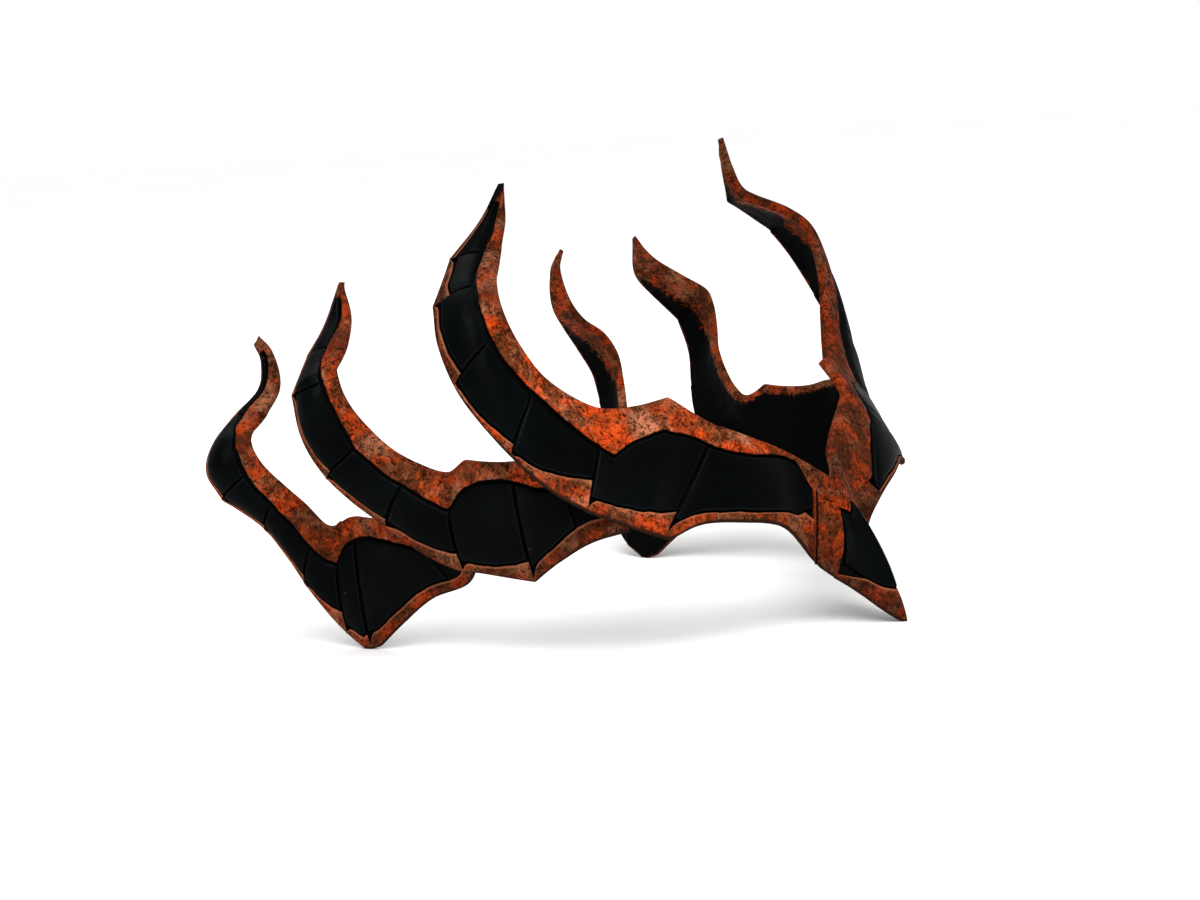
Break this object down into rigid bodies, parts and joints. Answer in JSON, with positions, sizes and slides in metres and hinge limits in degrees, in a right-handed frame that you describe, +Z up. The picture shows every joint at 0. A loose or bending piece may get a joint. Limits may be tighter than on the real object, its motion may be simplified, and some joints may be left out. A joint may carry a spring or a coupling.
{
  "type": "leather crown",
  "caption": "Open-backed leather crown of overlapping plates that sweep up into bowed horns, with a pointed brow beak and black scales inset between copper borders.",
  "frame": {"origin": "centre of the bounding box's bottom face, on the surface the crown stands on", "axes": "+Z up, the wearer faces -Y, the wearer's right side is -X"},
  "size_m": [0.2184, 0.1844, 0.1458],
  "materials": {
    "copper_leather": "copper-rust paint rubbed over brown leather, black on the cut edges and the inner faces",
    "black_leather": "black satin dyed leather with burnished edges"
  },
  "bodies": {
    "root": {"front_plate": "copper_leather", "mid_plate_right": "copper_leather", "mid_plate_left": "copper_leather", "rear_plate_right": "copper_leather", "rear_plate_left": "copper_leather", "beak_inset": "black_leather", "front_scale_right_1": "black_leather", "front_scale_right_2": "black_leather", "front_scale_right_3": "black_leather", "front_scale_right_4": "black_leather", "front_scale_right_5": "black_leather", "front_scale_right_6": "black_leather", "front_scale_right_7": "black_leather", "front_scale_left_1": "black_leather", "front_scale_left_2": "black_leather", "front_scale_left_3": "black_leather", "front_scale_left_4": "black_leather", "front_scale_left_5": "black_leather", "front_scale_left_6": "black_leather", "front_scale_left_7": "black_leather", "mid_scale_right_1": "black_leather", "mid_scale_right_2": "black_leather", "mid_scale_right_3": "black_leather", "mid_scale_right_4": "black_leather", "mid_scale_right_5": "black_leather", "mid_scale_right_6": "black_leather", "mid_scale_right_7": "black_leather", "mid_scale_left_1": "black_leather", "mid_scale_left_2": "black_leather", "mid_scale_left_3": "black_leather", "mid_scale_left_4": "black_leather", "mid_scale_left_5": "black_leather", "mid_scale_left_6": "black_leather", "mid_scale_left_7": "black_leather", "rear_scale_right_1": "black_leather", "rear_scale_right_2": "black_leather", "rear_scale_right_3": "black_leather", "rear_scale_right_4": "black_leather", "rear_scale_right_5": "black_leather", "rear_scale_right_6": "black_leather", "rear_scale_right_7": "black_leather", "rear_scale_left_1": "black_leather", "rear_scale_left_2": "black_leather", "rear_scale_left_3": "black_leather", "rear_scale_left_4": "black_leather", "rear_scale_left_5": "black_leather", "rear_scale_left_6": "black_leather", "rear_scale_left_7": "black_leather"}
  },
  "joints": []
}
